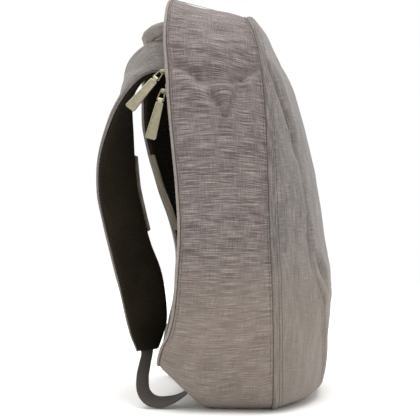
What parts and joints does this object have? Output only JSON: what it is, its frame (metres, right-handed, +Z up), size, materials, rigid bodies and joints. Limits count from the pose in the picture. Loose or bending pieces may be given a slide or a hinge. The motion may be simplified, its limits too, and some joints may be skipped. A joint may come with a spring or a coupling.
{
  "type": "anti-theft backpack",
  "caption": "Slim daypack with a domed front, a zip hidden against the wearer's back, padded shoulder straps and a grab handle.",
  "frame": {"origin": "on the floor under the middle of the flat base", "axes": "+Z up along the bag's height, +Y towards the wearer's back, -X the wearer's left"},
  "size_m": [0.2949, 0.2525, 0.45],
  "materials": {
    "heather_cloth": "matt melange polyester weave with slubs",
    "trim_cloth": "light melange trim, topstitched",
    "black_mesh": "matt black spacer mesh",
    "black_coil": "black nylon coil",
    "grey_webbing": "dark grey ribbed webbing",
    "satin_metal": "satin plated zinc, worn edges"
  },
  "bodies": {
    "bag": {"gusset": "heather_cloth", "front_panel": "heather_cloth", "seam_welt": "trim_cloth", "back_piping": "trim_cloth", "zip_tape": "black_mesh", "zip_coil": "black_coil", "back_panel": "black_mesh", "carry_handle": "trim_cloth", "strap_cover_left": "heather_cloth", "strap_cover_right": "heather_cloth", "strap_pad_left": "black_mesh", "strap_pad_right": "black_mesh", "strap_strip_left": "trim_cloth", "strap_strip_right": "trim_cloth", "webbing_left": "grey_webbing", "webbing_right": "grey_webbing", "slider_upper": "satin_metal", "slider_lower": "satin_metal", "ring_upper": "satin_metal", "ring_lower": "satin_metal"},
    "upper_pull": {"pull_upper": "satin_metal"},
    "lower_pull": {"pull_lower": "satin_metal"}
  },
  "joints": [
    {"name": "upper_pull_swing", "type": "hinge", "parent": "bag", "child": "upper_pull", "pos_m": [-0.11449, 0.09021, 0.35715], "axis": [0.2097, 0.7854, 0.5824], "range_deg": [0, 110]},
    {"name": "lower_pull_swing", "type": "hinge", "parent": "bag", "child": "lower_pull", "pos_m": [-0.12056, 0.08438, 0.33407], "axis": [0.0529, 0.977, 0.2067], "range_deg": [0, 110]}
  ]
}
